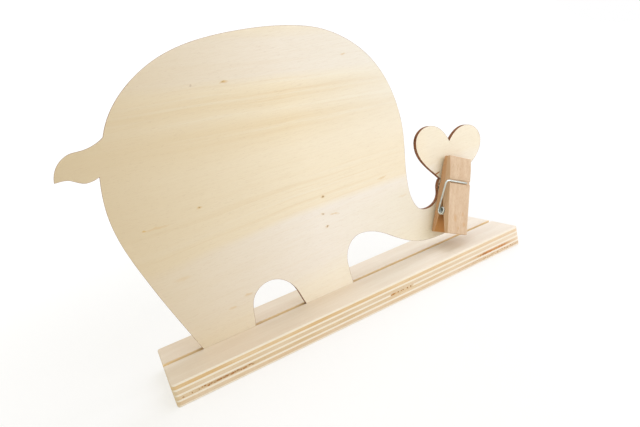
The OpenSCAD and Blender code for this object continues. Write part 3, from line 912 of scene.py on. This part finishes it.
# %% Wire path
WIRE = 0.84
coil_middle = Vector((56.654, -5.940, 24.512))
peg_out = Vector((0, -1, 0))
wedge = math.radians(5)  # from a jaw's outside to the face where the jaws meet
along_s = peg_up * math.cos(wedge) - peg_out * math.sin(wedge)
along_n = peg_up * math.sin(wedge) + peg_out * math.cos(wedge)
coil_radius, half_width, turns = 1.5, 6.77, 15
arm_s, arm_n = 14.061, 3.297  # where the arm crosses its jaw
arm_lean, arm_tip, bend = 1.3, 4.216, 1.5  # how far it leans out, its end, its bend's radius
leave = math.atan2(arm_n, arm_s) - math.acos(coil_radius / math.hypot(arm_s, arm_n))
total = turns * 2 * math.pi + 2 * leave
STEPS_A_TURN = 28


def peg_point(s, n, w):
    """A point of the spring's own frame, in the whole model's millimetres."""
    return coil_middle + along_s * s + along_n * n + peg_across * w


def coil_point(t):
    """A point of the coil, from its left end at t = 0 to its right end at t = 1."""
    angle = leave - t * total
    across = half_width * (2 * t - 1)
    return Vector((coil_radius * math.cos(angle), coil_radius * math.sin(angle), across))


def arm_points():
    """The left arm, from its tip across the groove, round the bend and down to the coil."""
    corner = Vector((arm_s, arm_n, -half_width - arm_lean))
    foot = coil_point(0)
    way, across = (corner - foot).normalized(), Vector((0, 0, 1))
    half = (-way).angle(across) / 2
    run = bend / math.tan(half)
    middle = corner + (across - way).normalized() * bend / math.sin(half)
    first, last = corner + across * run - middle, corner - way * run - middle
    straight = [Vector((arm_s, arm_n, w)) for w in (arm_tip, arm_tip - 0.25, 2, 0, -2, -4, -6)]
    round_bend = [middle + first.lerp(last, k / 10).normalized() * bend for k in range(11)]
    down = [round_bend[-1].lerp(foot, k / 6) for k in range(1, 7)]
    return straight + round_bend + down


steps = turns * STEPS_A_TURN
coil_line = [coil_point(k / steps) for k in range(steps + 1)]
left_arm = arm_points()
right_arm = [Vector((p.x, -p.y, -p.z)) for p in left_arm]
wound = total / 2 / math.pi
print("coil:", round(wound, 2), "turns at a pitch of", round(2 * half_width / wound, 3), "mm")

# %% Wire sweep
SIDES = 14
circle = [(math.cos(a), math.sin(a)) for a in (2 * math.pi * k / SIDES for k in range(SIDES))]


def ways_along(places):
    """The way that the line runs at each of its places."""
    last = len(places) - 1
    spans = [(places[max(i - 1, 0)], places[min(i + 1, last)]) for i in range(last + 1)]
    return [(end - start).normalized() for start, end in spans]


def swept(places, ways, radii):
    """The corners and faces of a tube with a round section at each of the places."""
    last = len(places) - 1
    points, faces = [], []
    out = ways[0].orthogonal().normalized()
    for place, way, radius in zip(places, ways, radii):
        out = (out - way * out.dot(way)).normalized()
        other = way.cross(out)
        points += [(place + radius * (c * out + s * other)) * MM for c, s in circle]
    for i in range(last):
        for k in range(SIDES):
            m = (k + 1) % SIDES
            faces.append((i * SIDES + k, i * SIDES + m, (i + 1) * SIDES + m, (i + 1) * SIDES + k))
    faces.append(tuple(range(SIDES - 1, -1, -1)))
    faces.append(tuple(last * SIDES + k for k in range(SIDES)))
    return points, faces


print("the wire is swept with", SIDES, "sides")

# %% Spring
TIP_RADIUS = 0.36 * WIRE  # a cut end is a little thinner than the wire


def wire(name, line, body, tip=True):
    """A stretch of the wire along the line. Its first end is cut and eased, if tip."""
    places = [peg_point(*p) for p in line]
    ways = ways_along(places)
    radii = [WIRE / 2] * len(places)
    if tip:
        radii[0] = TIP_RADIUS
        places[1] = places[0].lerp(places[1], 0.35)
    points, faces = swept(places, ways, radii)
    mesh = bpy.data.meshes.new(name)
    mesh.from_pydata(points, [], faces)
    mesh.shade_smooth()
    mesh.set_sharp_from_angle(angle=math.radians(60))
    mesh.materials.append(wire_finish)
    piece = bpy.data.objects.new(name, mesh)
    bpy.context.scene.collection.objects.link(piece)
    if body:
        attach(piece, body)
    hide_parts("peg_spring")
    return piece


wire("spring_front_arm", left_arm, "peg_lever")
wire("spring_rear_arm", right_arm, "panel")
coil = wire("spring_coil", coil_line, None, tip=False)
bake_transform(coil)
print("spring:", len(coil.data.polygons), "faces in the coil")

# %% [markdown]
# ## The glue
# The bed of glue between the peg and the trunk is where the frame has it. It only takes its
# finish and an eased edge. Hardly more of it shows than a line, so it needs no piece of
# its own.

# %% Glue
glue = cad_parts["peg_glue"]
glue.data.materials.clear()
glue.data.materials.append(glue_finish)
eased(glue, width=0.05, segments=2)
print("glue:", len(glue.data.polygons), "faces")
